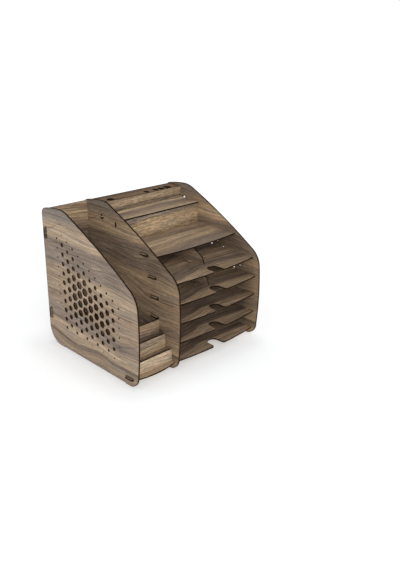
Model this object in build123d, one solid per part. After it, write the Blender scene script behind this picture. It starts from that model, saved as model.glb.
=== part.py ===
from build123d import *
import math
import os

os.makedirs("parts", exist_ok=True)

# Desk organizer cut from 3 mm board and slotted together, with a lift lid.
# Working axes: X to the right, Y to the back, Z up, millimetres.
# X = 0 is the outer face of the left side panel, Z = 0 is the desk top.
# Everything is shifted at the end so that the origin is the middle of the
# footprint, on the desk top.

# ---------------------------------------------------------------- dimensions
T = 3.0                    # board thickness
PROUD = 4.5                # how far a locating tab stands out of its slot
TAB = 20.0                 # length of a side tab
TIP_R = 1.2                # rounding of the corners of a tab
SLOT_CLEAR = 0.25          # clearance round a tab in its slot, each side

X_L = 0.0                  # left side panel, outer face
X_M = 107.0                # middle panel, left face
X_R = 350.0                # right side panel, left face
LEFT_IN = (X_L + T, X_M)   # width between the panels of the left bay
RIGHT_IN = (X_M + T, X_R)  # width between the panels of the right bay
WIDTH = X_R + T

Y_BACK_EDGE = 302.0        # rear edge of the three upright panels
Y_BACK = 290.5             # front face of the back panels
Z_BACK_TOP = 305.0         # top of the back panels
Z_BACK_LOW = 10.0          # bottom of the back panels

LEVEL_0 = 16.4             # centre height of the lowest boards
PITCH = 42.5               # pitch of the tray levels
LEVELS = [LEVEL_0 + PITCH * i for i in range(6)]   # tray 5 ... tray 1, shelf

NOTCH_X = 233.3            # finger notch and divider centre
NOTCH_R = 14.0             # its half width and the radius of its back
NOTCH_DEPTH = 31.0         # from the tray's front edge
NOTCH_MOUTH_R = 6.0        # rounding at the mouth

# front edge of each level, at the middle and at the sides, and the front end
# of the tab that passes through the panels
TRAY_FRONT = {5: (3.5, 12.0), 4: (1.0, 8.3), 3: (1.0, 8.3), 2: (1.0, 8.3),
              1: (9.5, 16.5)}
TRAY_TAB_Y = {5: 61.3, 4: 61.3, 3: 61.3, 2: 61.3, 1: 67.5}
SHELF_FRONT = (65.5, 73.0)
SHELF_TAB_Y = 92.0
FLOOR_FRONT = (4.5, 12.0)
FLOOR_TAB_Y = 16.0
FLOOR_TAB_M_Y = 150.0

REAR_TABS_RIGHT = (158.0, 302.0)   # centres of the tabs through the back panel
REAR_TABS_LEFT = (31.0, 79.0)

BACK_TAB_Z = ((59.0, 81.0), (242.5, 264.5))    # tabs of the back panels, outer
BACK_L_TAB_M_Z = ((96.0, 112.0), (196.0, 212.0))   # inner, left back panel
BACK_R_TAB_M_Z = ((124.0, 140.0), (222.0, 238.0))  # inner, right back panel

# stepped boards of the left bay: front face, top height
STEPS = {"front": (20.0, 45.5), "middle": (40.0, 73.0), "back": (57.5, 100.0)}
STEP_GAP = 0.1             # side clearance of a stepped board
STEP_CORNER_R = 3.5

# lidded box
BOX_FRONT_Y = 191.5
LID_Z = 276.0              # underside of the closed lid
LID_FRONT_Y = 190.0
LID_REAR_Y = 247.5
LID_SIDE_GAP = 0.6
LID_REST_GAP = 0.1
PIVOT_Y = 238.5
PIVOT_Z = 279.0
PIVOT_HOLE_R = 4.7
PIVOT_TAB_W = 6.4
PIVOT_TAB_PROUD = 3.6

# pen ledge behind the box
RISER_Y = 251.0
LEDGE_Z = 302.0            # underside; its top is level with the riser's
# pen holes: centre X, centre Y, width across X, length along Y, round ended
LEDGE_HOLES = ((149.2, 262.9, 16.2, 16.2), (252.4, 262.4, 10.6, 14.8),
               (280.6, 262.8, 12.0, 15.6), (297.6, 263.0, 14.4, 16.0),
               (318.6, 264.6, 19.6, 19.6))

# dividers of the two upper trays
DIV_X = NOTCH_X - T / 2
DIV_UPPER_FRONT = 55.0
DIV_LOWER_FRONT = 40.5
SPARE_SLOTS = {1: ((220.5, 83.5, 107.5), (265.5, 83.5, 107.5)),
               2: ((220.5, 70.0, 93.0), (265.5, 70.0, 93.0))}
SPARE_W = 2.4

# honeycomb of the side panels: columns run up the panel, one every HEX_DY from
# HEX_Y0 towards the front; rows every HEX_DZ, odd columns half a row higher.
# HEX_SIZES holds, for each column, its lowest row and the width across flats
# of each hexagon from there upwards.
HEX_Y0, HEX_DY = 216.9, 18.0
HEX_Z0, HEX_DZ = 125.9, 20.8
HEX_SIZES = {
    -2: (-1, (3.0, 3.0, 3.0, 3.0, 3.2, 3.4, 3.6, 4.3)),
    -1: (-4, (5.9, 8.9, 9.7, 9.6, 10.2, 9.7, 8.8, 8.8, 8.6, 8.6, 2.1)),
    0: (-3, (7.5, 9.9, 10.9, 11.2, 11.6, 11.9, 11.1, 9.7, 6.5, 3.4)),
    1: (-4, (6.0, 8.8, 12.7, 14.8, 15.9, 14.6, 12.8, 9.5, 7.7, 4.2)),
    2: (-3, (8.6, 10.3, 14.5, 14.9, 16.1, 15.1, 11.1, 6.9, 3.4)),
    3: (-4, (5.7, 9.4, 13.0, 17.0, 15.3, 16.0, 12.4, 8.3, 3.9)),
    4: (-4, (2.0, 7.9, 11.2, 13.8, 15.2, 14.5, 11.5, 7.0, 4.0)),
    5: (-4, (5.8, 9.9, 13.9, 14.6, 14.2, 12.0, 8.2, 3.9)),
    6: (-4, (2.0, 8.9, 11.7, 14.4, 13.6, 11.4, 8.2, 4.0)),
    7: (-4, (5.3, 9.7, 13.6, 12.4, 11.9, 8.9, 4.3)),
    8: (-4, (3.0, 7.7, 9.1, 9.4, 9.1, 8.4, 4.2)),
    9: (-4, (2.0, 2.1, 3.4, 3.1, 3.6, 3.9)),
}

# outline of the upright panels in (Y, Z)
FOOT_CORNER = 15.0         # front foot, where the bottom edge turns up
FOOT_FRONT = 39.0          # rear end of the front foot
FOOT_REAR = 249.0          # front end of the rear foot
FOOT_STEP = 1.4            # height of the bottom edge between the feet
REAR_CORNER_R = 40.0

ORIGIN = (176.5, 148.95)   # working position of the finished part's origin


# ------------------------------------------------------------------- helpers
def arc(a, m, b):
    return ThreePointArc(a, m, b)


def face_of(edges):
    return make_face(edges)


def plate_z(sketch, z_mid):
    """A level board: a sketch in X and Y, centred on height z_mid."""
    return extrude(Pos(0, 0, z_mid - T / 2) * sketch, amount=T)


def plate_x(sketch, x_low):
    """An upright panel: a sketch in Y and Z, from x_low to x_low + T."""
    return extrude(Plane(origin=(x_low, 0, 0), x_dir=(0, 1, 0), z_dir=(1, 0, 0))
                   * sketch, amount=T)


def plate_y(sketch, y_low):
    """A cross board: a sketch in X and Z, from y_low to y_low + T."""
    return extrude(Plane(origin=(0, y_low + T, 0), x_dir=(1, 0, 0),
                         z_dir=(0, -1, 0)) * sketch, amount=T)


def rect(u0, v0, u1, v1):
    return Pos((u0 + u1) / 2, (v0 + v1) / 2) * Rectangle(abs(u1 - u0),
                                                         abs(v1 - v0))


def slot(u0, v0, u1, v1, c=SLOT_CLEAR):
    return rect(min(u0, u1) - c, min(v0, v1) - c, max(u0, u1) + c,
                max(v0, v1) + c)


def tab(u_root, u_tip, v0, v1, along="u", r=TIP_R):
    """A tab from its root to its rounded tip, a little overlapped at the root."""
    s = 1 if u_tip > u_root else -1
    root = u_root - s * 0.5
    a, b, c, d = ((root, v0), (u_tip, v0), (u_tip, v1), (root, v1))
    k = r * (1 - math.sqrt(0.5))
    tip0, tip1 = (u_tip - s * r, v0), (u_tip, v0 + r)
    tip2, tip3 = (u_tip, v1 - r), (u_tip - s * r, v1)
    m0 = (u_tip - s * k, v0 + k)
    m1 = (u_tip - s * k, v1 - k)
    pts = [a, tip0, m0, tip1, tip2, m1, tip3, d]
    if along == "v":
        pts = [(q, p) for p, q in pts]
    a, tip0, m0, tip1, tip2, m1, tip3, d = pts
    return face_of([Line(a, tip0), arc(tip0, m0, tip1), Line(tip1, tip2),
                    arc(tip2, m1, tip3), Line(tip3, d), Line(d, a)])


def hexagon(u, v, flats):
    r = flats / math.sqrt(3)
    pts = [(u + r * math.cos(math.radians(60 * k)),
            v + r * math.sin(math.radians(60 * k))) for k in range(6)]
    return face_of(Polyline(*pts, close=True))


def arc_y(x, x0, x1, y_mid, y_side):
    """Y of the bowed front edge between x0 and x1 at x."""
    half = (x1 - x0) / 2
    sag = y_side - y_mid
    radius = (half * half + sag * sag) / (2 * sag)
    dx = x - (x0 + x1) / 2
    return y_mid + radius - math.sqrt(radius * radius - dx * dx)


def board(x0, x1, front, notch=False):
    """Level board with a bowed front edge and, if asked, a finger notch."""
    y_mid, y_side = front
    back = [Line((x1, y_side), (x1, Y_BACK)), Line((x1, Y_BACK), (x0, Y_BACK)),
            Line((x0, Y_BACK), (x0, y_side))]
    if not notch:
        return face_of([arc((x0, y_side), ((x0 + x1) / 2, y_mid),
                            (x1, y_side))] + back)
    xa = NOTCH_X - NOTCH_R - NOTCH_MOUTH_R
    xb = NOTCH_X + NOTCH_R + NOTCH_MOUTH_R
    ya = arc_y(xa, x0, x1, y_mid, y_side)
    k = NOTCH_MOUTH_R * math.sqrt(0.5)
    y_in = y_mid + NOTCH_DEPTH - NOTCH_R
    left, right = NOTCH_X - NOTCH_R, NOTCH_X + NOTCH_R
    y_m = ya + NOTCH_MOUTH_R
    xl = (x0 + xa) / 2
    xr = (xb + x1) / 2
    return face_of([
        arc((x0, y_side), (xl, arc_y(xl, x0, x1, y_mid, y_side)), (xa, ya)),
        arc((xa, ya), (xa + k, y_m - k), (left, y_m)),
        Line((left, y_m), (left, y_in)),
        arc((left, y_in), (NOTCH_X, y_in + NOTCH_R), (right, y_in)),
        Line((right, y_in), (right, y_m)),
        arc((right, y_m), (xb - k, y_m - k), (xb, ya)),
        arc((xb, ya), (xr, arc_y(xr, x0, x1, y_mid, y_side)), (x1, y_side)),
    ] + back)


def rear_tabs(centres, length=TAB):
    out = None
    for c in centres:
        t = tab(Y_BACK, Y_BACK + T + PROUD, c - length / 2, c + length / 2, "v")
        out = t if out is None else out + t
    return out


# -------------------------------------------------------------- side outline
def panel_outline():
    g, c = FOOT_STEP, FOOT_CORNER
    edges = [
        Line((c + 8, 0), (FOOT_FRONT - 0.6, 0)),
        Line((FOOT_FRONT - 0.6, 0), (FOOT_FRONT + 0.8, g)),
        Line((FOOT_FRONT + 0.8, g), (FOOT_REAR - 0.8, g)),
        Line((FOOT_REAR - 0.8, g), (FOOT_REAR + 0.6, 0)),
        Line((FOOT_REAR + 0.6, 0), (Y_BACK_EDGE - REAR_CORNER_R, 0)),
        arc((Y_BACK_EDGE - REAR_CORNER_R, 0),
            (Y_BACK_EDGE - REAR_CORNER_R * (1 - math.sqrt(0.5)),
             REAR_CORNER_R * (1 - math.sqrt(0.5))),
            (Y_BACK_EDGE, REAR_CORNER_R)),
        Line((Y_BACK_EDGE, REAR_CORNER_R), (Y_BACK_EDGE, 294.0)),
        arc((Y_BACK_EDGE, 294.0), (299.4, 301.8), (293.0, 307.0)),
        arc((293.0, 307.0), (268.0, 311.8), (240.0, 314.4)),
        arc((240.0, 314.4), (222.0, 312.3), (207.0, 306.4)),
        arc((207.0, 306.4), (117.0, 262.3), (24.0, 207.3)),
        arc((24.0, 207.3), (7.0, 192.0), (-1.0, 172.0)),
        arc((-1.0, 172.0), (-4.1, 108.0), (-0.5, 29.0)),
        arc((-0.5, 29.0), (4.0, 12.5), (c + 8, 0)),
    ]
    return face_of(edges)


def panel(x_low, through, holes=()):
    """Upright panel with its slots (y0, z0, y1, z1) and other openings."""
    s = panel_outline()
    for y0, z0, y1, z1 in through:
        s -= slot(y0, z0, y1, z1)
    for h in holes:
        s -= h
    return plate_x(s, x_low)


def honeycomb():
    out = []
    for col, (row0, sizes) in HEX_SIZES.items():
        for k, flats in enumerate(sizes):
            row = row0 + k + (0.5 if col % 2 else 0.0)
            out.append(hexagon(HEX_Y0 - HEX_DY * col, HEX_Z0 + HEX_DZ * row,
                               flats))
    return out


def level_slot(y0, z_mid, length=TAB):
    return (y0, z_mid - T / 2, y0 + length, z_mid + T / 2)


parts = {}
Z_TRAY = {n: LEVELS[5 - n] for n in range(1, 6)}
Z_SHELF = LEVELS[5]
Z_FLOOR = LEVELS[0]

# -------------------------------------------------------------- level boards
for n in range(1, 6):
    x0, x1 = RIGHT_IN
    y0 = TRAY_TAB_Y[n]
    s = board(x0, x1, TRAY_FRONT[n], notch=True)
    reach = T if n == 5 else T + PROUD
    s += tab(x0, x0 - reach, y0, y0 + TAB)
    s += tab(x1, x1 + T + PROUD, y0, y0 + TAB)
    s += rear_tabs(REAR_TABS_RIGHT)
    if n == 1:
        for y in (96.0, 226.0):
            s -= slot(DIV_X, y, DIV_X + T, y + 24)
    if n == 2:
        for y in (84.0, 216.0):
            s -= slot(DIV_X, y, DIV_X + T, y + 24)
    for x, ya, yb in SPARE_SLOTS.get(n, ()):
        s -= rect(x - SPARE_W / 2, ya, x + SPARE_W / 2, yb)
    parts["tray_%d" % n] = plate_z(s, Z_TRAY[n])

RISER_TABS = (160.0, 300.0)      # centres of the tabs into the shelf
BOX_TABS = (160.0, 300.0)
s = board(RIGHT_IN[0], RIGHT_IN[1], SHELF_FRONT)
s += tab(RIGHT_IN[0], RIGHT_IN[0] - T - PROUD, SHELF_TAB_Y, SHELF_TAB_Y + TAB)
s += tab(RIGHT_IN[1], RIGHT_IN[1] + T + PROUD, SHELF_TAB_Y, SHELF_TAB_Y + TAB)
s += rear_tabs(REAR_TABS_RIGHT)
for c in RISER_TABS:
    s -= slot(c - 12, RISER_Y, c + 12, RISER_Y + T)
for c in BOX_TABS:
    s -= slot(c - 12, BOX_FRONT_Y, c + 12, BOX_FRONT_Y + T)
parts["upper_shelf"] = plate_z(s, Z_SHELF)

STEP_TABS = (31.0, 79.0)
s = board(LEFT_IN[0], LEFT_IN[1], FLOOR_FRONT)
s += tab(LEFT_IN[0], -PROUD, FLOOR_TAB_Y, FLOOR_TAB_Y + TAB)
s += tab(LEFT_IN[1], LEFT_IN[1] + T, FLOOR_TAB_M_Y, FLOOR_TAB_M_Y + TAB)
s += rear_tabs(REAR_TABS_LEFT)
for y, _ in STEPS.values():
    for c in STEP_TABS:
        s -= slot(c - 8, y, c + 8, y + T)
parts["left_floor"] = plate_z(s, Z_FLOOR)

# ------------------------------------------------------------ stepped boards
for name, (y, top) in STEPS.items():
    x0, x1 = LEFT_IN[0] + STEP_GAP, LEFT_IN[1] - STEP_GAP
    z0 = Z_FLOOR + T / 2
    r = STEP_CORNER_R
    k = r * (1 - math.sqrt(0.5))
    s = face_of([
        Line((x0, z0), (x1, z0)), Line((x1, z0), (x1, top - r)),
        arc((x1, top - r), (x1 - k, top - k), (x1 - r, top)),
        Line((x1 - r, top), (x0 + r, top)),
        arc((x0 + r, top), (x0 + k, top - k), (x0, top - r)),
        Line((x0, top - r), (x0, z0))])
    for c in STEP_TABS:
        s += tab(z0, z0 - T, c - 8, c + 8, "v", 0.6)
    parts["step_board_" + name] = plate_y(s, y)

# --------------------------------------------------------------- back panels
x0, x1 = RIGHT_IN
s = rect(x0, Z_BACK_LOW, x1, Z_BACK_TOP)
for za, zb in BACK_TAB_Z:
    s += tab(x1, x1 + T + PROUD, za, zb)
for za, zb in BACK_R_TAB_M_Z:
    s += tab(x0, x0 - T, za, zb, r=0.6)
for z in LEVELS:
    for c in REAR_TABS_RIGHT:
        s -= slot(c - TAB / 2, z - T / 2, c + TAB / 2, z + T / 2)
LEDGE_MID = LEDGE_Z + T / 2
DIV_TAB = (8.0, 28.0)            # divider rear tab, above the board it stands on
for z in (Z_TRAY[1] + T / 2, Z_TRAY[2] + T / 2):
    s -= slot(DIV_X, z + DIV_TAB[0], DIV_X + T, z + DIV_TAB[1])
parts["back_panel_right"] = plate_y(s, Y_BACK)

x0, x1 = LEFT_IN
s = rect(x0, Z_BACK_LOW, x1, Z_BACK_TOP)
for za, zb in BACK_TAB_Z:
    s += tab(x0, -PROUD, za, zb)
for za, zb in BACK_L_TAB_M_Z:
    s += tab(x1, x1 + T, za, zb, r=0.6)
for c in REAR_TABS_LEFT:
    s -= slot(c - TAB / 2, Z_FLOOR - T / 2, c + TAB / 2, Z_FLOOR + T / 2)
parts["back_panel_left"] = plate_y(s, Y_BACK)

# ------------------------------------------------------------------ dividers
def divider(z0, z1, y_front):
    """Upright divider with a rising, rounded front edge."""
    h = z1 - z0
    s = face_of([
        Spline((y_front, z0), (y_front + 1.6, z0 + 7.0),
               (y_front + 5.6, z0 + 14.2), (y_front + 14.2, z0 + 20.2),
               (y_front + 26.6, z0 + 27.6), (y_front + 46.0, z0 + h),
               tangents=((0.06, 1.0), (0.83, 0.55))),
        Line((y_front + 46.0, z0 + h), (Y_BACK, z0 + h)),
        Line((Y_BACK, z0 + h), (Y_BACK, z0)),
        Line((Y_BACK, z0), (y_front, z0))])
    s += tab(Y_BACK, Y_BACK + T + PROUD, z0 + DIV_TAB[0], z0 + DIV_TAB[1])
    return s


z0 = Z_TRAY[1] + T / 2
s = divider(z0, Z_SHELF - T / 2, DIV_UPPER_FRONT)
for y in (96.0, 226.0):
    s += tab(z0, z0 - T, y, y + 24, "v", 0.6)
parts["divider_upper"] = plate_x(s, DIV_X)

z0 = Z_TRAY[2] + T / 2
s = divider(z0, Z_TRAY[1] - T / 2, DIV_LOWER_FRONT)
for y in (84.0, 216.0):
    s += tab(z0, z0 - T, y, y + 24, "v", 0.6)
parts["divider_lower"] = plate_x(s, DIV_X)

# ---------------------------------------------------------- box, riser, ledge
x0, x1 = RIGHT_IN
z0 = Z_SHELF + T / 2
BOX_TOP = LID_Z - LID_REST_GAP
BOX_TAB_Z = (266.5, BOX_TOP)
s = rect(x0, z0, x1, BOX_TOP)
for c in BOX_TABS:
    s += tab(z0, z0 - T, c - 12, c + 12, "v", 0.6)
s += tab(x0, x0 - T, BOX_TAB_Z[0], BOX_TAB_Z[1], r=0.6)
s += tab(x1, x1 + T, BOX_TAB_Z[0], BOX_TAB_Z[1], r=0.6)
parts["box_front"] = plate_y(s, BOX_FRONT_Y)

RISER_TAB_Z = (256.0, 276.0)
s = rect(x0, z0, x1, LEDGE_Z + T)
for c in RISER_TABS:
    s += tab(z0, z0 - T, c - 12, c + 12, "v", 0.6)
s += tab(x1, x1 + T + PROUD, RISER_TAB_Z[0], RISER_TAB_Z[1])
parts["ledge_riser"] = plate_y(s, RISER_Y)

LEDGE_TAB_Y = 262.0
s = rect(x0, RISER_Y + T, x1, Y_BACK)
s += tab(x1, x1 + T + PROUD, LEDGE_TAB_Y, LEDGE_TAB_Y + TAB)
for x, y, w, l in LEDGE_HOLES:
    if l > w:
        s -= Pos(x, y) * Rot(0, 0, 90) * SlotOverall(l, w)
    else:
        s -= Pos(x, y) * Circle(w / 2)
parts["pen_ledge"] = plate_z(s, LEDGE_MID)

# ----------------------------------------------------------------------- lid
x0, x1 = RIGHT_IN[0] + LID_SIDE_GAP, RIGHT_IN[1] - LID_SIDE_GAP
s = rect(x0, LID_FRONT_Y, x1, LID_REAR_Y)
ya, yb = PIVOT_Y - PIVOT_TAB_W / 2, PIVOT_Y + PIVOT_TAB_W / 2
s += tab(x0, X_M - PIVOT_TAB_PROUD, ya, yb)
s += tab(x1, X_R + T + PIVOT_TAB_PROUD, ya, yb)
parts["lid"] = plate_z(s, LID_Z + T / 2)

# ------------------------------------------------------------ upright panels
back_slots = [(Y_BACK, za, Y_BACK + T, zb) for za, zb in BACK_TAB_Z]
pivot = Pos(PIVOT_Y, PIVOT_Z) * Circle(PIVOT_HOLE_R)
right_levels = [level_slot(TRAY_TAB_Y[n], Z_TRAY[n]) for n in range(1, 6)]
right_levels.append(level_slot(SHELF_TAB_Y, Z_SHELF))
box_slot = (BOX_FRONT_Y, BOX_TAB_Z[0], BOX_FRONT_Y + T, BOX_TAB_Z[1])

parts["side_panel_left"] = panel(
    X_L, back_slots + [level_slot(FLOOR_TAB_Y, Z_FLOOR)], honeycomb())

parts["middle_panel"] = panel(
    X_M, right_levels + [box_slot, level_slot(FLOOR_TAB_M_Y, Z_FLOOR)]
    + [(Y_BACK, za, Y_BACK + T, zb) for za, zb in BACK_L_TAB_M_Z]
    + [(Y_BACK, za, Y_BACK + T, zb) for za, zb in BACK_R_TAB_M_Z], [pivot])

parts["side_panel_right"] = panel(
    X_R, right_levels + back_slots + [
        box_slot,
        (RISER_Y, RISER_TAB_Z[0], RISER_Y + T, RISER_TAB_Z[1]),
        level_slot(LEDGE_TAB_Y, LEDGE_MID)], honeycomb() + [pivot])

# -------------------------------------------------------------------- output
shift = Pos(-ORIGIN[0], -ORIGIN[1], 0)
lo = [1e9] * 3
hi = [-1e9] * 3
for name, p in parts.items():
    solids = (shift * p).solids()
    assert len(solids) == 1, (name, len(solids))
    shape = solids[0]
    b = shape.bounding_box()
    lo = [min(a, c) for a, c in zip(lo, (b.min.X, b.min.Y, b.min.Z))]
    hi = [max(a, c) for a, c in zip(hi, (b.max.X, b.max.Y, b.max.Z))]
    export_step(shape, "parts/%s.step" % name)
print("nodes", len(parts))
print("box", [round(v, 2) for v in lo], [round(v, 2) for v in hi])
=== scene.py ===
import math

import bpy
from mathutils import Matrix, Vector

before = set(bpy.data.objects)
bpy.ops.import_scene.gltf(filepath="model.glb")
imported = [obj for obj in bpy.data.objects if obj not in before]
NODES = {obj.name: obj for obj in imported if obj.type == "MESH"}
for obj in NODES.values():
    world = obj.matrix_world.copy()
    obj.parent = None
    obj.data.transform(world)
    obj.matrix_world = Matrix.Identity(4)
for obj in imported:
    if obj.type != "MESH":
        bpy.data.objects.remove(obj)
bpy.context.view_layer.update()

# The boards are described in millimetres from the left side panel's outer
# front foot; OX and OY carry those numbers to the row frame.
OX, OY = 176.5, 148.95


def rx(x):
    return (x - OX) / 1000.0


def ry(y):
    return (y - OY) / 1000.0


def rz(z):
    return z / 1000.0


TO_ROW = (rx, ry, rz)
X, Y, Z = 0, 1, 2

# ------------------------------------------------------------------- camera
cam_data = bpy.data.cameras.new("view_camera")
cam = bpy.data.objects.new("view_camera", cam_data)
bpy.context.scene.collection.objects.link(cam)
bpy.context.scene.camera = cam
yaw, pitch, roll = 0.7976146, 0.3888903, 0.0191167
fwd = Vector((math.sin(yaw) * math.cos(pitch), math.cos(yaw) * math.cos(pitch),
              -math.sin(pitch)))
right = Vector((math.cos(yaw), -math.sin(yaw), 0.0))
up = right.cross(fwd)
r2 = math.cos(roll) * right + math.sin(roll) * up
u2 = -math.sin(roll) * right + math.cos(roll) * up
m = Matrix.Identity(4)
for i in range(3):
    m[i][0], m[i][1], m[i][2] = r2[i], u2[i], -fwd[i]
m[0][3], m[1][3], m[2][3] = rx(-688.1456), ry(-833.2915), rz(665.4879)
cam.matrix_world = m
cam_data.sensor_fit = "AUTO"
cam_data.sensor_width = 36.0
cam_data.lens = 639.587 / 570.0 * 36.0
cam_data.clip_start = 0.05
cam_data.clip_end = 200.0
cam_data.dof.use_dof = False


# --------------------------------------------------------- material helpers
class Nodes:
    """Small helper that builds a node tree."""

    def __init__(self, name):
        self.mat = bpy.data.materials.new(name)
        self.mat.use_nodes = True
        self.t = self.mat.node_tree
        self.t.nodes.clear()

    def put(self, socket, value):
        if isinstance(value, bpy.types.NodeSocket):
            self.t.links.new(value, socket)
        elif value is not None:
            socket.default_value = value

    def new(self, kind, **props):
        n = self.t.nodes.new(kind)
        for k, v in props.items():
            setattr(n, k, v)
        return n

    def math(self, op, a, b=None, c=None, clamp=False):
        n = self.new("ShaderNodeMath", operation=op, use_clamp=clamp)
        for i, v in enumerate((a, b, c)):
            self.put(n.inputs[i], v)
        return n.outputs[0]

    def add(self, a, b):
        return self.math("ADD", a, b)

    def sub(self, a, b):
        return self.math("SUBTRACT", a, b)

    def mul(self, a, b):
        return self.math("MULTIPLY", a, b)

    def vec(self, x, y, z):
        n = self.new("ShaderNodeCombineXYZ")
        for i, v in enumerate((x, y, z)):
            self.put(n.inputs[i], v)
        return n.outputs[0]

    def noise(self, vector, detail=2.0, rough=0.5, lacunarity=2.0):
        n = self.new("ShaderNodeTexNoise", noise_dimensions="3D")
        self.put(n.inputs["Vector"], vector)
        n.inputs["Scale"].default_value = 1.0
        n.inputs["Detail"].default_value = detail
        n.inputs["Roughness"].default_value = rough
        n.inputs["Lacunarity"].default_value = lacunarity
        return n.outputs[0]

    def step(self, value, lo, hi, out_lo=0.0, out_hi=1.0):
        n = self.new("ShaderNodeMapRange", interpolation_type="SMOOTHSTEP")
        self.put(n.inputs["Value"], value)
        n.inputs["From Min"].default_value = lo
        n.inputs["From Max"].default_value = hi
        n.inputs["To Min"].default_value = out_lo
        n.inputs["To Max"].default_value = out_hi
        return n.outputs["Result"]

    def line(self, value, lo, hi, out_lo=0.0, out_hi=1.0, clamp=True):
        n = self.new("ShaderNodeMapRange", interpolation_type="LINEAR",
                     clamp=clamp)
        self.put(n.inputs["Value"], value)
        n.inputs["From Min"].default_value = lo
        n.inputs["From Max"].default_value = hi
        n.inputs["To Min"].default_value = out_lo
        n.inputs["To Max"].default_value = out_hi
        return n.outputs["Result"]

    def mix(self, fac, a, b, blend="MIX"):
        n = self.new("ShaderNodeMix", data_type="RGBA", blend_type=blend)
        self.put(n.inputs[0], fac)
        self.put(n.inputs[6], a)
        self.put(n.inputs[7], b)
        return n.outputs[2]

    def ramp(self, fac, stops, interpolation="EASE"):
        n = self.new("ShaderNodeValToRGB")
        cr = n.color_ramp
        cr.interpolation = interpolation
        stops = sorted(stops, key=lambda s: s[0])
        while len(cr.elements) < len(stops):
            cr.elements.new(0.5)
        for e, (p, col) in zip(cr.elements, stops):
            e.position = min(max(p, 0.0), 1.0)
            e.color = (*col, 1.0)
        self.put(n.inputs[0], fac)
        return n.outputs[0]

    def curve(self, value, points, lo, hi, out_lo, out_hi):
        """A curve through given points: points are (value, result) pairs."""
        n = self.new("ShaderNodeFloatCurve")
        c = n.mapping.curves[0]
        pts = [((a - lo) / (hi - lo), (b - out_lo) / (out_hi - out_lo))
               for a, b in points]
        while len(c.points) < len(pts):
            c.points.new(0.5, 0.5)
        for p, (a, b) in zip(c.points, pts):
            p.location = (a, b)
            p.handle_type = "AUTO"
        n.mapping.update()
        self.put(n.inputs["Value"], self.line(value, lo, hi))
        return self.line(n.outputs[0], 0.0, 1.0, out_lo, out_hi)

    def scale_colour(self, colour, factor):
        """colour times a grey factor."""
        n = self.new("ShaderNodeVectorMath", operation="SCALE")
        self.put(n.inputs[0], colour)
        self.put(n.inputs["Scale"], factor)
        return n.outputs[0]


# veneer tones, linear
LIGHT = (0.482, 0.378, 0.272)
TAN = (0.425, 0.328, 0.232)
BROWN = (0.345, 0.264, 0.188)
GREY = (0.275, 0.220, 0.174)
DARK = (0.208, 0.162, 0.124)
DEEP = (0.150, 0.115, 0.088)


def tone(colour, k):
    return tuple(c * k for c in colour)


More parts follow.
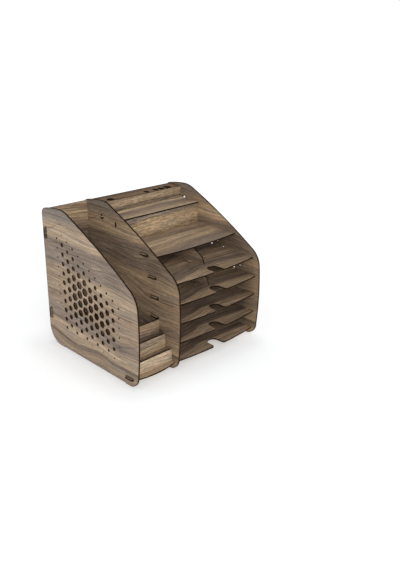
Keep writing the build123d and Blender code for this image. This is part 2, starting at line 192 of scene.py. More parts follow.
def veneer(name, along, across, thick, bands, seed, gain=1.0, wander=0.006,
           figure=None, marks=(), ring=140.0, turn=6.0, ring_depth=0.24,
           contrast=1.0, cast=(1.0, 1.0, 1.0), spots=(), end_tone=1.0,
           strokes=(), halo=(0.0007, 0.25), calm=None, tabs=None,
           streaky=1.0, flecky=1.0, rings=(), ring_side=-1):
    """Walnut veneer on a laser-cut board.

    along, across, thick: axis numbers of the grain, of the bands and of the
    board's thickness. bands: (millimetres across, tone) in ascending order.
    figure: {height: [(millimetres along, shift)]}, how the grain bends.
    marks: (millimetres across, half width, depth) of single dark lines.
    strokes: (points, half width, depth) of curved lines of figure, each a
    list of (millimetres along, millimetres across); a negative depth is light.
    halo: reach in metres and strength of the scorch beside the cut edges;
    calm: (u0, u1, v0, v1) in millimetres, a field where it is weaker.
    tabs: (lo, hi) in millimetres along; past them the board is a tab, coloured
    slightly darker, and a third number darkens it more.
    rings: (u0, v0, u1, v1) in millimetres of the slots, scorched all round on
    the face that ring_side gives, -1 or 1 along the thickness.
    """
    g = Nodes(name)
    tex = g.new("ShaderNodeTexCoord")
    sep = g.new("ShaderNodeSeparateXYZ")
    g.put(sep.inputs[0], tex.outputs["Object"])
    u, v = sep.outputs[along], sep.outputs[across]
    row_u, row_v = TO_ROW[along], TO_ROW[across]
    one = 0.001

    # the figure: lines of grain that bend up and down along the board
    s = v
    if figure:
        heights = sorted(figure)
        total = None
        for i, h in enumerate(heights):
            pts = sorted(figure[h])
            lo = min(p[1] for p in pts) - 1.0
            hi = max(p[1] for p in pts) + 1.0
            f = g.curve(u, [(row_u(a), b * one) for a, b in pts],
                        row_u(pts[0][0]), row_u(pts[-1][0]), lo * one, hi * one)
            w = None
            if i > 0:
                w = g.line(v, row_v(heights[i - 1]), row_v(h))
            if i < len(heights) - 1:
                d = g.line(v, row_v(h), row_v(heights[i + 1]), 1.0, 0.0)
                w = d if w is None else g.math("MINIMUM", w, d)
            f = f if w is None else g.mul(f, w)
            total = f if total is None else g.add(total, f)
        s = g.sub(v, total)

    # slow wander of the bands, then the finer raggedness of their edges
    w1 = g.noise(g.vec(g.mul(u, 4.5), g.mul(v, 14.0), seed), 1.5, 0.45)
    w2 = g.noise(g.vec(g.mul(u, 14.0), g.mul(v, 75.0), seed + 3.1), 3.0, 0.6)
    s = g.add(s, g.mul(g.sub(w1, 0.5), wander))
    s = g.add(s, g.mul(g.sub(w2, 0.5), 0.0035))
    # the bands' borders are feathered by the fibres
    w3 = g.noise(g.vec(g.mul(u, 11.0), g.mul(s, 420.0), seed + 5.9), 2.0, 0.6)
    sf = g.add(s, g.mul(g.sub(w3, 0.5), 0.0070))

    v0, v1 = row_v(bands[0][0]), row_v(bands[-1][0])
    stops = [((row_v(p) - v0) / (v1 - v0),
              tuple(a * b * gain for a, b in zip(t, cast))) for p, t in bands]
    colour = g.ramp(g.line(sf, v0, v1), stops, "EASE")

    # growth lines close into long tongues where the slow noise turns
    slow = g.noise(g.vec(g.mul(u, 1.9), g.mul(v, 15.0), seed + 7.7), 1.2, 0.4)
    f = g.add(g.mul(s, ring), g.mul(slow, turn))
    saw = g.math("FRACT", f)
    late = g.mul(g.math("POWER", saw, 3.0), g.step(saw, 0.93, 1.0, 1.0, 0.0))
    where = g.step(g.noise(g.vec(g.mul(u, 3.0), g.mul(v, 36.0), seed + 11.0),
                           2.0, 0.5), 0.38, 0.62, 0.15, 1.0)
    shade = g.sub(1.0, g.mul(g.mul(late, where), ring_depth * streaky))

    # thin dark veins, at the contours of a stretched noise
    vein_n = g.noise(g.vec(g.mul(u, 1.8), g.mul(s, 95.0), seed + 12.3), 1.0, 0.5)
    vein = g.line(g.math("ABSOLUTE", g.sub(vein_n, 0.5)), 0.0, 0.090, 1.0, 0.0)
    vein_w = g.step(g.noise(g.vec(g.mul(u, 4.0), g.mul(v, 22.0), seed + 14.1),
                            1.0, 0.5), 0.42, 0.62)
    shade = g.mul(shade, g.sub(1.0, g.mul(g.mul(vein, vein_w),
                                          0.30 * contrast * streaky)))

    # single lines that the eye picks out
    if marks:
        ms = []
        for p, hw, depth in sorted(marks):
            ms += [(p - hw, 1.0), (p, 1.0 - depth), (p + hw * 0.6, 1.0)]
        ms = [((row_v(p) - v0) / (v1 - v0), (q, q, q)) for p, q in ms]
        fade = g.noise(g.vec(g.mul(u, 9.0), g.mul(v, 30.0), seed + 15.7), 1.0)
        mk = g.new("ShaderNodeSeparateColor")
        g.put(mk.inputs[0], g.ramp(g.line(s, v0, v1), ms, "LINEAR"))
        mk = g.sub(1.0, g.mul(g.sub(1.0, mk.outputs[0]),
                              g.step(fade, 0.30, 0.55, 0.25, 1.0)))
        shade = g.mul(shade, mk)
    for pu, pv, ru, rv, depth in spots:
        du = g.mul(g.sub(u, row_u(pu)), 1000.0 / ru)
        dv = g.mul(g.sub(v, row_v(pv)), 1000.0 / rv)
        r = g.math("SQRT", g.add(g.mul(du, du), g.mul(dv, dv)))
        shade = g.mul(shade, g.step(r, 0.0, 1.0, 1.0 - depth, 1.0))

    # curved lines of figure, each with a soft tail at both ends
    if strokes:
        sway = g.add(g.mul(g.sub(w1, 0.5), wander * 0.5),
                     g.mul(g.sub(w2, 0.5), 0.0040))
        vj = g.add(g.add(v, sway), g.mul(g.sub(w3, 0.5), 0.0030))
        swell = g.noise(g.vec(g.mul(u, 16.0), g.mul(v, 60.0), seed + 33.3), 1.5)
        swell = g.line(swell, 0.30, 0.70, 0.55, 1.45)
        for pts, hw, depth in strokes:
            pts = sorted(pts)
            a0, a1 = pts[0][0], pts[-1][0]
            lo = min(q[1] for q in pts) - 4.0
            hi = max(q[1] for q in pts) + 4.0
            f = g.curve(u, [(row_u(a), row_v(b)) for a, b in pts],
                        row_u(a0), row_u(a1), row_v(lo), row_v(hi))
            d = g.math("ABSOLUTE", g.sub(vj, f))
            d = g.math("DIVIDE", g.mul(d, 1000.0 / hw), swell)
            k = g.step(d, 0.15, 1.0, 1.0, 0.0)
            fade = min(22.0, 0.25 * (a1 - a0))
            k = g.mul(k, g.step(u, row_u(a0), row_u(a0 + fade)))
            k = g.mul(k, g.step(u, row_u(a1 - fade), row_u(a1), 1.0, 0.0))
            shade = g.mul(shade, g.sub(1.0, g.mul(k, depth)))

    # streaks, fibres and pores, from a centimetre down to a tenth of a
    # millimetre across
    broad = g.noise(g.vec(g.mul(u, 4.0), g.mul(s, 62.0), seed + 9.3), 2.5, 0.55)
    streak = g.noise(g.vec(g.mul(u, 8.0), g.mul(s, 210.0), seed + 10.6), 3.0, 0.6)
    grain = g.noise(g.vec(g.mul(u, 13.0), g.mul(s, 330.0), seed + 11.9), 2.5, 0.6)
    fib1 = g.noise(g.vec(g.mul(u, 17.0), g.mul(s, 620.0), seed + 13.0), 3.0, 0.6)
    fib2 = g.noise(g.vec(g.mul(u, 42.0), g.mul(s, 1900.0), seed + 17.0), 2.0,
                   0.55)
    pore_n = g.noise(g.vec(g.mul(u, 95.0), g.mul(s, 2600.0), seed + 19.0), 1.0,
                     0.5)
    pores = g.step(pore_n, 0.60, 0.72)
    fleck = g.noise(g.vec(g.mul(u, 75.0), g.mul(v, 260.0), seed + 23.0), 2.5, 0.65)

    def swing(n, amount):
        a = amount * contrast
        return g.line(n, 0.25, 0.75, 1.0 - a, 1.0 + a, clamp=False)

    shade = g.mul(shade, swing(broad, 0.13 * streaky))
    shade = g.mul(shade, swing(streak, 0.30 * streaky))
    shade = g.mul(shade, swing(grain, 0.36))
    shade = g.mul(shade, swing(fib1, 0.36))
    shade = g.mul(shade, swing(fib2, 0.18))
    shade = g.mul(shade, swing(fleck, 0.20 * flecky))
    shade = g.mul(shade, g.sub(1.0, g.mul(pores, 0.26 * contrast)))
    colour = g.scale_colour(colour, shade)

    # slow drift between a yellower, a redder and a greyer cast
    hue = g.noise(g.vec(g.mul(u, 5.0), g.mul(s, 48.0), seed + 29.0), 2.0, 0.55)
    tint = g.ramp(hue, [(0.30, (0.98, 0.95, 0.87)), (0.45, (0.95, 0.95, 0.95)),
                        (0.55, (0.99, 0.94, 0.925)), (0.70, (0.91, 0.95, 1.0))],
                  "EASE")
    colour = g.mix(1.0, colour, tint, "MULTIPLY")

    # cut edges: burnt nearly black by the laser, with striations through the
    # thickness
    nrm = g.new("ShaderNodeSeparateXYZ")
    g.put(nrm.inputs[0], tex.outputs["Normal"])
    face = g.step(g.math("ABSOLUTE", nrm.outputs[thick]), 0.55, 0.80)
    stri_in = [g.mul(sep.outputs[i], 30.0 if i == thick else 1500.0)
               for i in range(3)]
    stri = g.noise(g.vec(*stri_in), 2.0, 0.6)
    ply = g.noise(g.vec(*[g.mul(sep.outputs[i], 1300.0 if i == thick else 14.0)
                          for i in range(3)]), 1.0, 0.5)
    burn = g.ramp(g.add(g.mul(stri, 0.7), g.mul(ply, 0.3)),
                  [(0.30, tone((0.0085, 0.0040, 0.0021), end_tone)),
                   (0.52, tone((0.0175, 0.0083, 0.0042), end_tone)),
                   (0.72, tone((0.0400, 0.0200, 0.0104), end_tone))], "EASE")

    # scorched halo on the veneer next to every cut
    ao = g.new("ShaderNodeAmbientOcclusion", samples=8, inside=True,
               only_local=True)
    ao.inputs["Distance"].default_value = halo[0]
    scorch = g.step(ao.outputs["AO"], 0.50, 0.97, halo[1], 0.0)
    if calm:
        inner = None
        for c, row, (lo, hi) in ((u, row_u, calm[:2]), (v, row_v, calm[2:])):
            for edge, a, b in ((lo, 0.0, 1.0), (hi, 1.0, 0.0)):
                k = g.step(c, row(edge - 2), row(edge + 2), a, b)
                inner = k if inner is None else g.mul(inner, k)
        scorch = g.mul(scorch, g.sub(1.0, g.mul(inner, 0.68)))
    colour = g.mix(scorch, colour, (0.031, 0.0160, 0.0086, 1.0))
    if rings:
        outer = g.step(nrm.outputs[thick], -0.5, 0.5,
                       *((0.0, 0.94) if ring_side > 0 else (0.94, 0.0)))
    for u0, v0, u1, v1 in rings:
        du = g.sub(g.math("ABSOLUTE", g.sub(u, row_u((u0 + u1) / 2))),
                   abs(u1 - u0) / 2000.0)
        dv = g.sub(g.math("ABSOLUTE", g.sub(v, row_v((v0 + v1) / 2))),
                   abs(v1 - v0) / 2000.0)
        d = g.math("MAXIMUM", du, dv)
        colour = g.mix(g.mul(g.step(d, 0.0011, 0.0029, 1.0, 0.0), outer), colour,
                       (0.014, 0.0075, 0.0042, 1.0))
    tab = None
    if tabs:
        lo = g.step(u, row_u(tabs[0] - 0.6), row_u(tabs[0]), 1.0, 0.0)
        hi = g.step(u, row_u(tabs[1]), row_u(tabs[1] + 0.6))
        tab = g.math("MAXIMUM", lo, hi)
        brown = tabs[2] if len(tabs) > 2 else 0.12
        colour = g.mix(g.mul(tab, brown), colour, (0.016, 0.009, 0.0055, 1.0))
    colour = g.mix(face, burn, colour)

    rough = g.add(0.54, g.mul(g.sub(fib1, 0.5), 0.24))
    rough = g.add(rough, g.mul(pores, 0.15))
    rough = g.add(g.mul(rough, face), g.mul(g.sub(1.0, face), 0.78))

    height = g.add(g.mul(fib1, 0.5), g.mul(fib2, 0.35))
    height = g.sub(height, g.mul(pores, 0.8))
    height = g.add(g.mul(height, face), g.mul(stri, g.sub(1.0, face)))
    bump = g.new("ShaderNodeBump")
    bump.inputs["Strength"].default_value = 0.25
    bump.inputs["Distance"].default_value = 0.00012
    g.put(bump.inputs["Height"], height)

    shader = g.new("ShaderNodeBsdfPrincipled")
    g.put(shader.inputs["Base Color"], colour)
    g.put(shader.inputs["Roughness"], rough)
    g.put(shader.inputs["Normal"], bump.outputs[0])
    shader.inputs["Specular IOR Level"].default_value = 0.05
    out = g.new("ShaderNodeOutputMaterial")
    g.put(out.inputs["Surface"], shader.outputs[0])
    return g.mat


# ------------------------------------------------------------ board finishes
# all three upright panels are cut from the same sheet of veneer: bands by
# height, grain from front to back
PANEL_BANDS = [
    (-6, tone(BROWN, 0.80)), (8, tone(BROWN, 0.88)), (16, tone(BROWN, 0.97)),
    (24, tone(BROWN, 0.80)), (27.5, tone(DARK, 0.90)), (31.5, tone(DARK, 0.85)),
    (34.0, BROWN), (37, tone(TAN, 0.90)), (45, tone(TAN, 0.94)),
    (53, tone(LIGHT, 0.92)), (60, TAN), (65, BROWN), (70, tone(GREY, 1.02)),
    (88, tone(GREY, 1.15)), (96, BROWN), (112, tone(BROWN, 1.06)),
    (124, tone(BROWN, 1.14)), (150, tone(BROWN, 1.10)), (160, tone(TAN, 0.90)),
    (176, tone(TAN, 0.95)), (186, BROWN), (192, tone(GREY, 1.02)),
    (210, tone(GREY, 1.03)), (228, tone(GREY, 0.93)), (246, tone(GREY, 0.95)),
    (251.5, tone(TAN, 0.97)), (262, tone(LIGHT, 0.96)), (272, tone(TAN, 1.04)),
    (280, tone(TAN, 0.93)), (286, (0.326, 0.265, 0.206)),
    (299, (0.262, 0.222, 0.184)), (310, (0.215, 0.188, 0.160))]

PANEL_FIGURE = {
    30: [(-5, 0), (50, 0), (80, -1), (110, 3), (145, 0), (176, -5), (205, -6.5),
         (230, -5), (255, -1), (280, 4), (302, 8)],
    75: [(-5, 0), (30, -3), (54, -8), (76, -3), (120, 0), (302, 2)],
    150: [(-5, 0), (94, 0), (110, 5), (130, 12), (160, 20), (200, 25),
          (302, 27)],
    200: [(-5, -5), (10, -2), (60, 3), (80, 4), (120, -1), (140, -3), (200, 0),
          (250, 6), (302, 4)],
    250: [(-5, 0), (60, 2), (140, -1), (220, 1), (302, -2)],
}
PANEL_MARKS = [(33.0, 4.5, 0.20), (85.0, 2.6, 0.20), (104.0, 2.0, 0.14),
               (122.0, 2.0, 0.20), (131.5, 2.2, 0.14), (142.5, 3.2, 0.30),
               (149.5, 2.4, 0.18), (194.0, 2.8, 0.22), (248.5, 3.0, 0.16)]
PANEL_SPOTS = [(54, 76, 16, 6, 0.26), (250, 131, 16, 5, 0.22),
               (240, 283, 7, 3, 0.25), (285, 150, 36, 85, 0.16)]
PANEL_STROKES = [
    ([(14, 191), (76, 198), (119, 193), (169, 208)], 2.2, 0.30),
    ([(1.5, 141), (94, 143), (114, 151), (134, 158), (169, 166), (206, 168)],
     1.9, 0.42),
    ([(39, 126), (90, 125), (131, 121)], 1.8, 0.32),
    ([(180, 172), (244, 168), (300, 166)], 2.0, 0.24),
    ([(4, 91), (30, 82), (54, 75), (76, 63)], 2.4, 0.28),
    ([(1.5, 92), (24, 86), (44, 78)], 2.0, 0.24),
    ([(148, 246), (190, 244), (234, 243), (282, 238)], 2.4, 0.34),
    ([(90, 226), (146, 230), (218, 226), (274, 220)], 1.9, 0.30),
    ([(120, 214), (180, 217), (240, 209), (301, 212)], 2.0, 0.30),
    ([(226, 288), (250, 280), (270, 271), (301, 266)], 1.8, 0.34),
    ([(236, 286), (244, 289), (252, 284)], 1.6, 0.34),
    ([(255, 277), (275, 268), (302, 254)], 1.6, 0.22),
    ([(8, 158), (60, 156), (110, 164), (150, 172)], 1.7, 0.26),
    ([(190, 190), (240, 187), (301, 192)], 2.0, 0.28),
    ([(236, 140), (262, 133), (301, 128)], 1.8, 0.26),
    ([(232, 122), (255, 128), (284, 124)], 1.6, 0.24),
    ([(10, 112), (60, 110), (110, 104), (170, 108)], 1.7, 0.24),
    ([(30, 60), (90, 64), (150, 60), (220, 64)], 1.8, 0.20),
    ([(60, 180), (120, 184), (200, 180)], 1.9, -0.14),
    ([(10, 168), (70, 172), (130, 180)], 2.0, -0.12),
    ([(20, 44), (100, 47), (180, 40), (280, 44)], 2.4, -0.10),
]



def by_height(bands, ks):
    """Scale the tones of the bands by a factor that changes with height."""
    out = []
    for z, t in bands:
        k = ks[-1][1] if z > ks[-1][0] else ks[0][1]
        for (z0, k0), (z1, k1) in zip(ks, ks[1:]):
            if z0 <= z <= z1:
                k = k0 + (k1 - k0) * (z - z0) / (z1 - z0)
        out.append((z, tone(t, k)))
    return out


# how strongly each upright shows the sheet's bands, from the foot to the top
UPRIGHTS = {
    "side_panel_left": (1.02, (1.0, 1.0, 1.01), 0.88, [
        (0, 1.03), (50, 1.0), (70, 0.94), (120, 0.98), (150, 1.0), (180, 0.97),
        (260, 0.97), (310, 0.98)]),
    "middle_panel": (0.98, (1.04, 0.985, 0.90), 1.1, [
        (0, 0.97), (60, 0.95), (110, 0.97), (135, 0.98), (165, 0.95), (180, 0.92),
        (210, 0.94), (235, 1.02), (246, 1.12), (270, 1.05), (286, 0.98),
        (310, 1.05)]),
    "side_panel_right": (1.02, (1.04, 0.98, 0.88), 0.95, [
        (0, 0.90), (60, 0.88), (120, 0.88), (160, 0.80), (185, 0.80),
        (215, 0.86), (240, 0.98), (252, 1.14), (270, 1.08), (284, 0.93),
        (310, 0.92)]),
}
# slots that the other boards' tabs pass through, scorched round their edges
BACK_SLOTS = [(290.5, 59.0, 293.5, 81.0), (290.5, 242.5, 293.5, 264.5)]
LEVEL_SLOTS = [(y, 14.9 + 42.5 * i, y + 20, 17.9 + 42.5 * i)
               for i, y in enumerate((61.3, 61.3, 61.3, 61.3, 67.5, 92.0))]
RINGS = {
    "side_panel_left": BACK_SLOTS + [(16.0, 14.9, 36.0, 17.9)],
    "middle_panel": LEVEL_SLOTS,
    "side_panel_right": BACK_SLOTS + LEVEL_SLOTS,
}
for n, (gain, cast, con, ks) in UPRIGHTS.items():
    mat = veneer("veneer_" + n, Y, Z, X, by_height(PANEL_BANDS, ks), 2.0, gain,
                 cast=cast, contrast=con, figure=PANEL_FIGURE,
                 marks=PANEL_MARKS, spots=PANEL_SPOTS, strokes=PANEL_STROKES,
                 halo=(0.0026, 0.88), streaky=0.75, rings=RINGS[n],
                 ring_side=1 if n == "side_panel_right" else -1,
                 calm=None if n == "middle_panel" else (30, 284, 35, 268))
    NODES[n].data.materials.clear()
    NODES[n].data.materials.append(mat)


def tray_bands(front):
    rel = [(0, TAN), (10, LIGHT), (24, TAN), (29, GREY), (36, DARK), (48, GREY),
           (58, BROWN), (68, BROWN), (75, LIGHT), (82, TAN), (90, BROWN),
           (110, BROWN), (122, DARK), (150, GREY), (190, BROWN), (220, TAN),
           (250, BROWN), (300, GREY)]
    return [(front + a, t) for a, t in rel]


# the border between the light front strip and the dark band behind it swings
# to and fro across the tray
TRAY_SWING = [(107, -9), (135, -7.5), (160, -4), (185, 0), (210, 6.5), (250, 4.5),
              (285, 2.5), (335, -2.5), (353, -4)]
TRAY_STROKES = [
    ([(112, 22), (135, 22), (185, 29.5), (210, 36), (250, 34), (285, 32),
      (350, 24)], 2.2, 0.34),
    ([(112, 40), (160, 47), (220, 52), (290, 46), (350, 42)], 2.0, 0.30),
    ([(112, 56), (170, 62), (230, 66), (300, 60), (350, 58)], 2.0, 0.26),
    ([(118, 10), (180, 13), (240, 11), (340, 13)], 1.6, 0.20),
    ([(112, 16), (170, 19), (220, 24), (300, 20), (350, 17)], 1.8, -0.12),
    ([(112, 70), (180, 76), (250, 80), (350, 72)], 3.0, -0.16),
    ([(112, 92), (180, 98), (260, 94), (350, 100)], 2.4, 0.30),
    ([(112, 112), (200, 118), (280, 110), (350, 114)], 2.4, 0.26),
]
# the top tray shows more of itself: two light lines that close in a point
TOP_TRAY_STROKES = TRAY_STROKES[:4] + [
    ([(120, 46), (142, 54), (180, 65), (217, 77), (250, 79)], 2.2, -0.24),
    ([(120, 81), (150, 81), (190, 80), (217, 79), (250, 79)], 2.0, -0.22),
    ([(112, 62), (140, 67), (175, 73), (205, 78)], 2.4, 0.30),
    ([(112, 92), (160, 90), (220, 88), (300, 84), (350, 88)], 2.2, 0.30),
    ([(112, 108), (180, 112), (260, 104), (350, 110)], 2.2, 0.26),
    ([(225, 70), (270, 64), (320, 68), (350, 66)], 2.2, 0.26),
]
FRONTS = {1: 9.5, 2: 1.0, 3: 1.0, 4: 1.0, 5: 3.5}
TRAY_GAIN = {1: 1.0, 2: 0.96, 3: 0.90, 4: 0.88, 5: 1.02}
for k, front in FRONTS.items():
    n = "tray_%d" % k
    lean = 1.5 * math.sin(2.1 * k)
    figure = {front + 29: [(a, b + lean) for a, b in TRAY_SWING]}
    lines = TOP_TRAY_STROKES if k == 1 else TRAY_STROKES
    lines = [([(a, b + front + lean) for a, b in pts], hw, d)
             for pts, hw, d in lines]
    bands = tray_bands(front)
    if k == 1:
        # tray 1 is coloured darker at its open front and lighter towards its back under the shelf:
        # painted shade and painted light that stand in for how the light falls
        bands = by_height(bands, [(0, 0.86), (32, 0.88), (45, 1.10), (100, 1.10),
                                  (125, 1.5), (150, 1.6)])
    mat = veneer("veneer_" + n, X, Y, Z, bands, 31.0 + 5.3 * k,
                 TRAY_GAIN[k], cast=(1.03, 0.98, 0.93), figure=figure,
                 strokes=lines, contrast=1.1, tabs=(107, 353),
                 halo=(0.0010, 0.45))
    NODES[n].data.materials.clear()
    NODES[n].data.materials.append(mat)

BOARDS = {
    # the upper shelf's bands from 156 to 195, in front of the box, are darker: grain and painted
    # shade from the box
    "upper_shelf": (X, Y, Z, [
        (60, GREY), (70, GREY), (88, GREY), (95, BROWN), (103, TAN),
        (114, TAN), (120, BROWN), (127, TAN), (134, LIGHT), (152, TAN),
        (156, tone(BROWN, 1.05)), (163, tone(GREY, 1.1)), (178, tone(BROWN, 1.1)),
        (195, tone(BROWN, 1.05)), (230, GREY), (260, BROWN), (300, BROWN)],
        71.0),
    # the left floor's front strip is coloured light: painted light, for how the light falls on it
    "left_floor": (X, Y, Z, [
        (0, LIGHT), (15, LIGHT), (26, TAN), (50, BROWN), (110, BROWN),
        (160, TAN), (220, BROWN), (300, GREY)], 75.0),
    "box_front": (X, Z, Y, [
        (224, tone(GREY, 0.82)), (229, tone(GREY, 0.84)), (233, tone(BROWN, 0.88)),
        (238, tone(TAN, 0.95)), (245, tone(LIGHT, 0.95)),
        (258, tone(LIGHT, 0.95)), (264, tone(TAN, 0.96)), (266, BROWN), (268, (0.285, 0.232, 0.21)),
        (272, (0.26, 0.212, 0.197)), (280, (0.25, 0.205, 0.19))], 79.0),
    "ledge_riser": (X, Z, Y, [
        (228, BROWN), (250, TAN), (275, LIGHT), (279, LIGHT), (281.5, GREY),
        (283.5, DARK), (287, tone(GREY, 1.1)), (290, TAN), (296, LIGHT),
        (305, tone(TAN, 0.9))], 83.0),
    "pen_ledge": (X, Y, Z, [
        (250, BROWN), (262, BROWN), (272, BROWN), (281, tone(BROWN, 0.85)),
        (286, tone(BROWN, 0.70)), (296, tone(BROWN, 0.66))], 87.0),
    # the lid's rear strip next to the riser is coloured lighter and lighter: painted light laid
    # over the shade the riser throws there
    "lid": (X, Y, Z, [
        (188, TAN), (194, LIGHT), (201, TAN), (206, BROWN), (222, GREY),
        (232, GREY), (236, tone(TAN, 1.15)), (241, tone(LIGHT, 1.32)),
        (248, tone(LIGHT, 1.44))], 91.0),
    "back_panel_left": (X, Z, Y, [
        (0, GREY), (60, BROWN), (110, TAN), (160, BROWN), (210, GREY),
        (240, DARK), (252, DARK), (260, BROWN), (272, TAN), (290, TAN),
        (304, TAN)], 95.0),
    "back_panel_right": (X, Z, Y, [
        (0, GREY), (60, BROWN), (110, TAN), (160, BROWN), (210, GREY),
        (240, DARK), (252, DARK), (260, BROWN), (272, TAN), (290, TAN),
        (304, TAN)], 99.0),
    "step_board_back": (X, Z, Y, [
        (15, BROWN), (50, BROWN), (66, tone(GREY, 1.3)), (71, tone(DARK, 1.4)),
        (75, tone(GREY, 1.25)), (82, tone(BROWN, 1.05)), (89, tone(TAN, 0.88)),
        (97, tone(TAN, 0.88)), (101, tone(BROWN, 0.9))], 103.0),
    "step_board_middle": (X, Z, Y, [
        (15, BROWN), (34, BROWN), (43, TAN), (51, LIGHT), (55, LIGHT),
        (57, TAN), (59, tone(GREY, 1.15)), (70, tone(GREY, 1.22)),
        (74, tone(GREY, 1.15))], 107.0),
    "step_board_front": (X, Z, Y, [
        (14, TAN), (20, TAN), (30, LIGHT), (42, LIGHT), (47, TAN)], 111.0),
    "divider_upper": (Y, Z, X, [
        (184, BROWN), (195, GREY), (205, TAN), (215, BROWN), (230, GREY)], 115.0),
    "divider_lower": (Y, Z, X, [
        (142, BROWN), (152, GREY), (162, TAN), (172, BROWN), (188, GREY)], 119.0),
}
# how the bands of a board bend along it
BEND = {
    "upper_shelf": {100: [(107, -8), (155, -6), (192, 0), (215, 8), (260, 12),
                          (335, 14), (353, 14)],
                    165: [(107, 3), (180, 0), (260, -3), (353, -5)]},
    "box_front": {232: [(107, -8), (205, -8), (217, -2), (245, -5), (260, -4),
                        (285, -2), (322, 0), (353, 1)],
                  268: [(107, -6), (147, -4.5), (172, -2), (185, 0.5),
                        (210, 1.7), (250, -0.8), (285, 1.7), (322, 4.2),
                        (353, 4.6)]},
    "ledge_riser": {284: [(107, -5), (160, -3), (210, 0), (260, 1), (285, 0),
                          (320, 1), (353, 2)]},
    "lid": {222: [(107, -3), (160, -2), (220, 1), (270, 4), (320, 0), (353, -2)]},
    "back_panel_left": {250: [(0, 4), (60, 0), (110, -4)]},
    "step_board_back": {84: [(0, 3), (40, 2), (75, 0), (110, -3)]},
    "step_board_middle": {57: [(0, 1), (40, 0), (75, 1), (110, 2)]},
    "step_board_front": {30: [(0, 4), (50, 1), (110, -4)]},
}
LINES = {
    "upper_shelf": [
        ([(155, 95), (192, 102), (215, 115), (260, 121), (335, 124)], 2.4, -0.22),
        ([(160, 91), (192, 98), (212, 109), (240, 114)], 2.2, 0.34),
        ([(140, 74), (190, 78), (250, 84), (330, 80)], 2.2, 0.26),
        ([(150, 108), (185, 112), (205, 122), (260, 130), (345, 134)], 2.0, 0.28),
        ([(130, 144), (190, 140), (260, 143), (345, 140)], 2.4, 0.26),
        ([(120, 160), (200, 157), (280, 158), (345, 152)], 2.8, 0.34),
        ([(120, 172), (210, 176), (300, 170), (350, 172)], 2.4, 0.24),
        ([(150, 120), (200, 132), (300, 140), (345, 144)], 2.4, -0.12)],
    "box_front": [
        ([(112, 263), (147, 263.5), (172, 266), (185, 268.5), (210, 269.7),
          (250, 267.2), (285, 269.7), (322, 272.2), (350, 272.6)], 1.4, 0.30),
        ([(214, 238), (232, 234.5), (256, 235.5), (285, 237), (350, 239)],
         1.6, 0.26),
        ([(140, 252), (190, 249), (250, 252), (300, 249)], 1.1, 0.16),
        ([(180, 258), (240, 260), (330, 263)], 1.1, 0.16),
        ([(230, 244), (290, 243), (345, 246)], 1.2, 0.18)],
    "ledge_riser": [
        ([(140, 279), (160, 281), (210, 286.5), (260, 288), (300, 286.5),
          (350, 289)], 1.6, 0.34),
        ([(120, 276), (170, 277.5), (215, 281), (255, 280), (300, 281),
          (350, 283)], 1.0, 0.34),
        ([(140, 298), (200, 297), (260, 299), (345, 297)], 1.2, 0.16)],
    "lid": [
        ([(112, 236), (170, 232), (230, 237), (290, 238), (350, 233)], 2.0, 0.22),
        ([(150, 214), (220, 219), (290, 212), (350, 215)], 2.4, 0.24),
        ([(112, 206), (180, 203), (260, 207), (345, 202)], 1.8, 0.20),
        ([(220, 196), (255, 198), (300, 195)], 3.2, 0.16),
        ([(310, 200), (330, 197), (350, 201)], 3.0, -0.16)],
    "back_panel_left": [
        ([(4, 262), (50, 258), (106, 254)], 2.4, 0.36),
        ([(4, 272), (50, 269), (106, 268)], 1.8, 0.22),
        ([(4, 284), (60, 287), (106, 282)], 1.8, 0.16)],
    "step_board_back": [
        ([(4, 94), (50, 93), (80, 90), (105, 88)], 2.0, -0.20),
        ([(45, 92), (70, 94), (100, 91)], 1.6, -0.16),
        ([(6, 76), (40, 79), (80, 78), (105, 75)], 1.6, 0.34),
        ([(30, 70), (70, 72), (105, 70)], 2.0, 0.34),
        ([(10, 85), (45, 84), (80, 86), (105, 83)], 1.1, 0.26)],
    "step_board_middle": [
        ([(4, 56.5), (50, 56), (105, 57.5)], 1.3, -0.26),
        ([(4, 59.5), (50, 58.5), (105, 60)], 1.1, 0.32),
        ([(4, 49), (40, 48), (80, 50), (105, 49)], 1.2, 0.22),
        ([(4, 41), (50, 42), (105, 39)], 1.5, 0.30),
        ([(20, 66), (60, 64), (100, 66)], 1.3, 0.20)],
    "step_board_front": [
        ([(4, 40), (50, 39), (105, 36)], 1.2, 0.16),
        ([(4, 27), (40, 25), (80, 22), (105, 20)], 1.6, 0.20),
        ([(20, 33), (60, 31), (100, 29)], 1.2, 0.14)],
}
TUNE = {
    "upper_shelf": (1.08, (1.02, 0.98, 0.92)),
    "box_front": (1.0, (1.03, 0.98, 0.85)),
    "ledge_riser": (0.89, (1.02, 0.98, 0.93)),
    "pen_ledge": (0.62, (1.04, 0.85, 0.62)),
    "lid": (1.21, (1.01, 0.99, 0.95)),
    "back_panel_left": (1.08, (1.02, 0.98, 0.92)),
    "step_board_back": (0.93, (1.04, 0.97, 0.90)),
    "step_board_middle": (1.10, (1.02, 0.98, 0.90)),
    "step_board_front": (1.10, (1.0, 1.0, 0.97)),
    "left_floor": (1.16, (1.01, 0.98, 0.92)),
}
# the short bright flecks that replace the streaks on some of the boards
FLECKED = {"box_front": (0.25, 2.6), "ledge_riser": (0.5, 2.0),
           "step_board_front": (0.5, 1.8), "step_board_middle": (0.6, 1.6),
           "step_board_back": (0.6, 1.6), "lid": (0.6, 1.3),
           "upper_shelf": (0.7, 1.2)}
# boards whose holes and edges get a wider, darker rim: laser scorch, widened with painted shade for
# the shadowed insides of the pen holes
SCORCH_AND_HOLE_SHADE = {"pen_ledge": (0.0022, 0.92)}
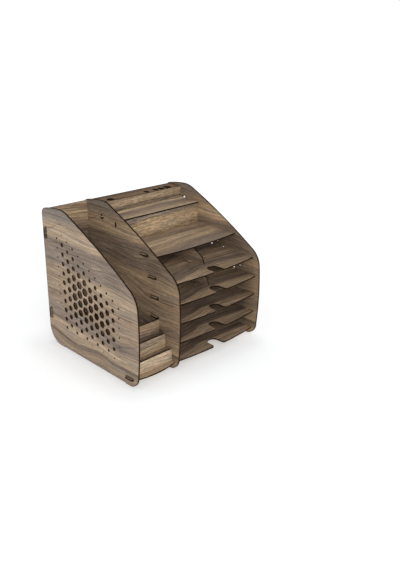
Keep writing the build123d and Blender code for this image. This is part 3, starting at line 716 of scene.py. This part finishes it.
# where a board's ends pass through the panels beside it
SPANS = {"lid": (107, 353), "left_floor": (0, 110, 0.5),
         "back_panel_left": (0, 110, 0.42),
         "step_board_back": (0, 110), "step_board_middle": (0, 110),
         "step_board_front": (0, 110), "upper_shelf": (107, 353),
         "box_front": (108.5, 351.5), "ledge_riser": (107, 353),
         "pen_ledge": (107, 353), "back_panel_right": (107, 353)}
for n, (along, across, thick, bands, seed) in BOARDS.items():
    gain, cast = TUNE.get(n, (0.95, (1.02, 0.98, 0.94)))
    streaky, flecky = FLECKED.get(n, (1.0, 1.0))
    mat = veneer("veneer_" + n, along, across, thick, bands, seed, gain,
                 cast=cast, figure=BEND.get(n), strokes=LINES.get(n, ()),
                 halo=SCORCH_AND_HOLE_SHADE.get(n, (0.0007, 0.25)),
                 end_tone=0.6 if n == "lid" else 1.0,
                 wander=0.003 if n in BEND else 0.006,
                 contrast=1.1 if n in LINES else 1.0, tabs=SPANS.get(n),
                 streaky=streaky, flecky=flecky)
    NODES[n].data.materials.clear()
    NODES[n].data.materials.append(mat)

# a barely broken arris on every board, so the cut edges catch the light
for n, o in NODES.items():
    weld = o.modifiers.new("weld", "WELD")
    weld.merge_threshold = 0.00001
    bev = o.modifiers.new("arris", "BEVEL")
    bev.width = 0.00016
    bev.segments = 2
    bev.limit_method = "ANGLE"
    bev.angle_limit = math.radians(40)
    bev.use_clamp_overlap = True
    bev.harden_normals = True

# ------------------------------------------------------------ floor and light
fm = Nodes("studio_floor")
ft = fm.new("ShaderNodeTexCoord")
fsep = fm.new("ShaderNodeSeparateXYZ")
fm.put(fsep.inputs[0], ft.outputs["Object"])
fn = fm.noise(fm.vec(fm.mul(fsep.outputs[0], 3.0), fm.mul(fsep.outputs[1], 3.0),
                     0.5), 2.0)
fcol = fm.mix(fn, (0.775, 0.782, 0.790, 1.0), (0.750, 0.757, 0.765, 1.0))
fb = fm.new("ShaderNodeBsdfDiffuse")
fm.put(fb.inputs["Color"], fcol)
fe = fm.new("ShaderNodeEmission")
fe.inputs["Color"].default_value = (0.98, 0.995, 1.0, 1.0)
# the floor glows white, a painted glow that stands in for a lit table: painted shadow
# close round the feet, where it glows less, and a little more glow towards the horizon
fdx = fm.math("MAXIMUM", fm.sub(fm.math("ABSOLUTE", fm.sub(fsep.outputs[0], -0.03)),
                                0.15), 0.0)
fdy = fm.math("MAXIMUM", fm.sub(fm.math("ABSOLUTE", fsep.outputs[1]), 0.14), 0.0)
near = fm.math("SQRT", fm.add(fm.mul(fdx, fdx), fm.mul(fdy, fdy)))
far = fm.math("SQRT", fm.add(fm.mul(fsep.outputs[0], fsep.outputs[0]),
                             fm.mul(fsep.outputs[1], fsep.outputs[1])))
floor_painted_glow = fm.add(fm.step(near, 0.0, 0.085, 0.40, 0.52),
              fm.step(far, 0.25, 0.75, 0.0, 0.10))
# less glow still in a narrow band at the feet: a painted contact shadow
fm.put(fe.inputs["Strength"], fm.sub(floor_painted_glow, fm.step(near, 0.0, 0.014, 0.05, 0.0)))
fa = fm.new("ShaderNodeAddShader")
fm.put(fa.inputs[0], fb.outputs[0])
fm.put(fa.inputs[1], fe.outputs[0])
fo = fm.new("ShaderNodeOutputMaterial")
fm.put(fo.inputs["Surface"], fa.outputs[0])

mesh = bpy.data.meshes.new("studio_floor")
s = 40.0
mesh.from_pydata([(-s, -s, 0), (s, -s, 0), (s, s, 0), (-s, s, 0)], [],
                 [(0, 1, 2, 3)])
floor = bpy.data.objects.new("studio_floor", mesh)
bpy.context.scene.collection.objects.link(floor)
floor.data.materials.append(fm.mat)

# a white cove all round: bright at the horizon, dimmer overhead
world = bpy.data.worlds.new("studio")
bpy.context.scene.world = world
world.use_nodes = True
wt = world.node_tree
wt.nodes.clear()
wc = wt.nodes.new("ShaderNodeTexCoord")
wsep = wt.nodes.new("ShaderNodeSeparateXYZ")
wt.links.new(wc.outputs["Generated"], wsep.inputs[0])
wm = wt.nodes.new("ShaderNodeValToRGB")
wt.links.new(wsep.outputs[2], wm.inputs[0])
cove = [(0.0, 1.0), (0.05, 1.0), (0.12, 0.80), (0.45, 0.62), (1.0, 0.40)]
while len(wm.color_ramp.elements) < len(cove):
    wm.color_ramp.elements.new(0.5)
for e, (p, k) in zip(wm.color_ramp.elements, cove):
    e.position = p
    e.color = (k, k, k, 1.0)
bg = wt.nodes.new("ShaderNodeBackground")
bg.inputs["Strength"].default_value = 1.08
wt.links.new(wm.outputs[0], bg.inputs["Color"])
wo = wt.nodes.new("ShaderNodeOutputWorld")
wt.links.new(bg.outputs[0], wo.inputs[0])

bpy.context.scene.view_settings.view_transform = "Standard"
bpy.context.scene.view_settings.look = "None"


def area(name, loc, target, size, power, colour=(1, 1, 1)):
    d = bpy.data.lights.new(name, "AREA")
    d.shape = "DISK"
    d.size = size
    d.energy = power
    d.color = colour
    o = bpy.data.objects.new(name, d)
    bpy.context.scene.collection.objects.link(o)
    o.location = loc
    o.rotation_mode = "QUATERNION"
    o.rotation_quaternion = (Vector(target) - Vector(loc)).to_track_quat("-Z", "Y")
    return o


area("soft_key", (-1.35, -1.9, 1.25), (0, 0, 0.15), 1.5, 18.0)
area("front_fill", (0.7, -2.3, 0.7), (0, 0, 0.1), 1.5, 4.0)
